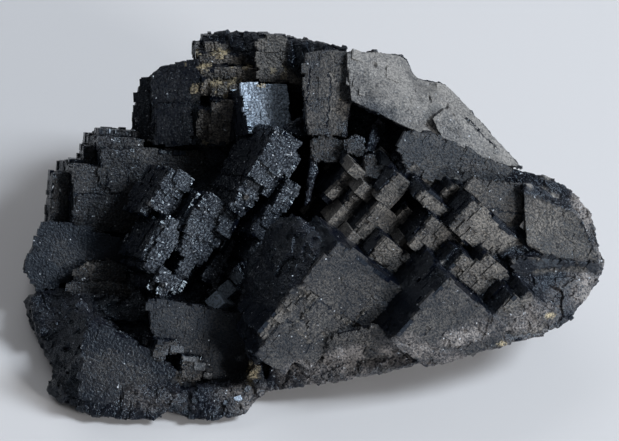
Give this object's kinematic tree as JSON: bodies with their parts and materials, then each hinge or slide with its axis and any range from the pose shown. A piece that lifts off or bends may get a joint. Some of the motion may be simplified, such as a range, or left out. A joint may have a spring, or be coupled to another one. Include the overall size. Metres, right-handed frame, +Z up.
{
  "type": "mineral specimen",
  "caption": "Black fluorite hand specimen: cubic crystals grown into one another in stepped terraces, broken along one edge, lying on a flat worn base.",
  "frame": {"origin": "centre of the specimen's outline, on the surface it rests on", "axes": "+X along the specimen's length towards its broken right end, +Y away from the broken front edge, +Z up"},
  "size_m": [0.12, 0.0836, 0.047],
  "materials": {
    "fluorite": "frosted crystal faces, glossy where fresh"
  },
  "bodies": {
    "root": {"fluorite_cluster": "fluorite"}
  },
  "joints": []
}
